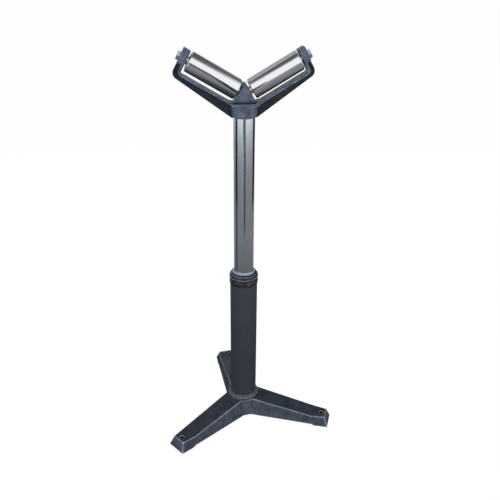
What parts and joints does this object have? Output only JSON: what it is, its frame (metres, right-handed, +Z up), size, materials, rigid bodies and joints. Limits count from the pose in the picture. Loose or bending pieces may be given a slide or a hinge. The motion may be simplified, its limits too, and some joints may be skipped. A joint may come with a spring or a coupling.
{
  "type": "v roller stand",
  "caption": "Tripod stand with a telescoping, swivelling post and a V yoke whose two steel rollers carry pipe or bar at a set height.",
  "frame": {"origin": "on the floor, on the column's axis, at the centre of the floor bolts' circle", "axes": "+Z up along the column; +X to the right along the yoke, whose rollers form the V in the XZ plane; the carried pipe lies along Y; -Y faces the picture's camera; the tripod is turned 7.5 degrees under the yoke as pictured"},
  "size_m": [0.412, 0.3841, 0.8898],
  "materials": {
    "black_casting": "black paint on a sand casting",
    "black_yoke": "semi-gloss black paint",
    "black_tube": "satin black paint",
    "black_plastic": "moulded",
    "black_lever": "satin",
    "black_screw": "black oxide",
    "brass": "turned",
    "zinc_steel": "bright zinc",
    "bright_tube": "cold drawn and oiled",
    "turned_steel": "turned",
    "bearing_steel": "ground",
    "polished_roller": "ground and polished",
    "white_nylon": "machined"
  },
  "bodies": {
    "stand": {"tripod_base": "black_casting", "column_tube": "black_tube", "column_set_screws": "black_screw", "guide_bush": "black_plastic", "bush_screw": "black_screw", "clamp_boss": "black_tube"},
    "pad": {"clamp_pad": "brass"},
    "lever": {"clamp_screw": "zinc_steel", "clamp_lever": "black_lever", "lever_screw": "zinc_steel"},
    "lift": {"guide_ring": "white_nylon"},
    "post": {"post_tube": "bright_tube", "foot_plug": "turned_steel", "foot_washer": "zinc_steel", "foot_screw": "zinc_steel", "yoke": "black_yoke", "yoke_set_screw": "black_screw", "axle_bolts": "zinc_steel", "left_inner_rings": "bearing_steel", "left_end_spacers": "zinc_steel", "left_spacer_tube": "turned_steel", "right_inner_rings": "bearing_steel", "right_end_spacers": "zinc_steel", "right_spacer_tube": "turned_steel"},
    "left_roller": {"left_roller_tube": "polished_roller", "left_bearing_housings": "turned_steel", "left_outer_rings": "bearing_steel", "left_shields": "bearing_steel"},
    "left_ball_set": {"left_balls": "bearing_steel", "left_cages": "bearing_steel"},
    "right_roller": {"right_roller_tube": "polished_roller", "right_bearing_housings": "turned_steel", "right_outer_rings": "bearing_steel", "right_shields": "bearing_steel"},
    "right_ball_set": {"right_balls": "bearing_steel", "right_cages": "bearing_steel"}
  },
  "joints": [
    {"name": "clamp_slide", "type": "slide", "parent": "stand", "child": "pad", "axis": [0, 1, 0], "range_m": [0, 0.00175]},
    {"name": "clamp_turn", "type": "hinge", "parent": "pad", "child": "lever", "pos_m": [0, 0.05, 0.356], "axis": [0, 1, 0], "range_deg": [0, 360]},
    {"name": "post_slide", "type": "slide", "parent": "stand", "child": "lift", "axis": [0, 0, 1], "range_m": [-0.27, 0.038]},
    {"name": "post_swivel", "type": "hinge", "parent": "lift", "child": "post", "pos_m": [0, 0, 0.3], "axis": [0, 0, 1], "continuous": true},
    {"name": "left_roller_spin", "type": "hinge", "parent": "post", "child": "left_roller", "pos_m": [-0.0145, 0, 0.8095], "axis": [-0.866, 0, 0.5], "continuous": true},
    {"name": "left_ball_orbit", "type": "hinge", "parent": "post", "child": "left_ball_set", "pos_m": [-0.0145, 0, 0.8095], "axis": [-0.866, 0, 0.5], "continuous": true},
    {"name": "right_roller_spin", "type": "hinge", "parent": "post", "child": "right_roller", "pos_m": [0.0145, 0, 0.8095], "axis": [0.866, 0, 0.5], "continuous": true},
    {"name": "right_ball_orbit", "type": "hinge", "parent": "post", "child": "right_ball_set", "pos_m": [0.0145, 0, 0.8095], "axis": [0.866, 0, 0.5], "continuous": true}
  ],
  "couplings": [
    {"joint": "clamp_slide", "follows": "clamp_turn", "m_per_rad": 0.0002785},
    {"joint": "left_ball_orbit", "follows": "left_roller_spin", "ratio": 0.619},
    {"joint": "right_ball_orbit", "follows": "right_roller_spin", "ratio": 0.619}
  ]
}
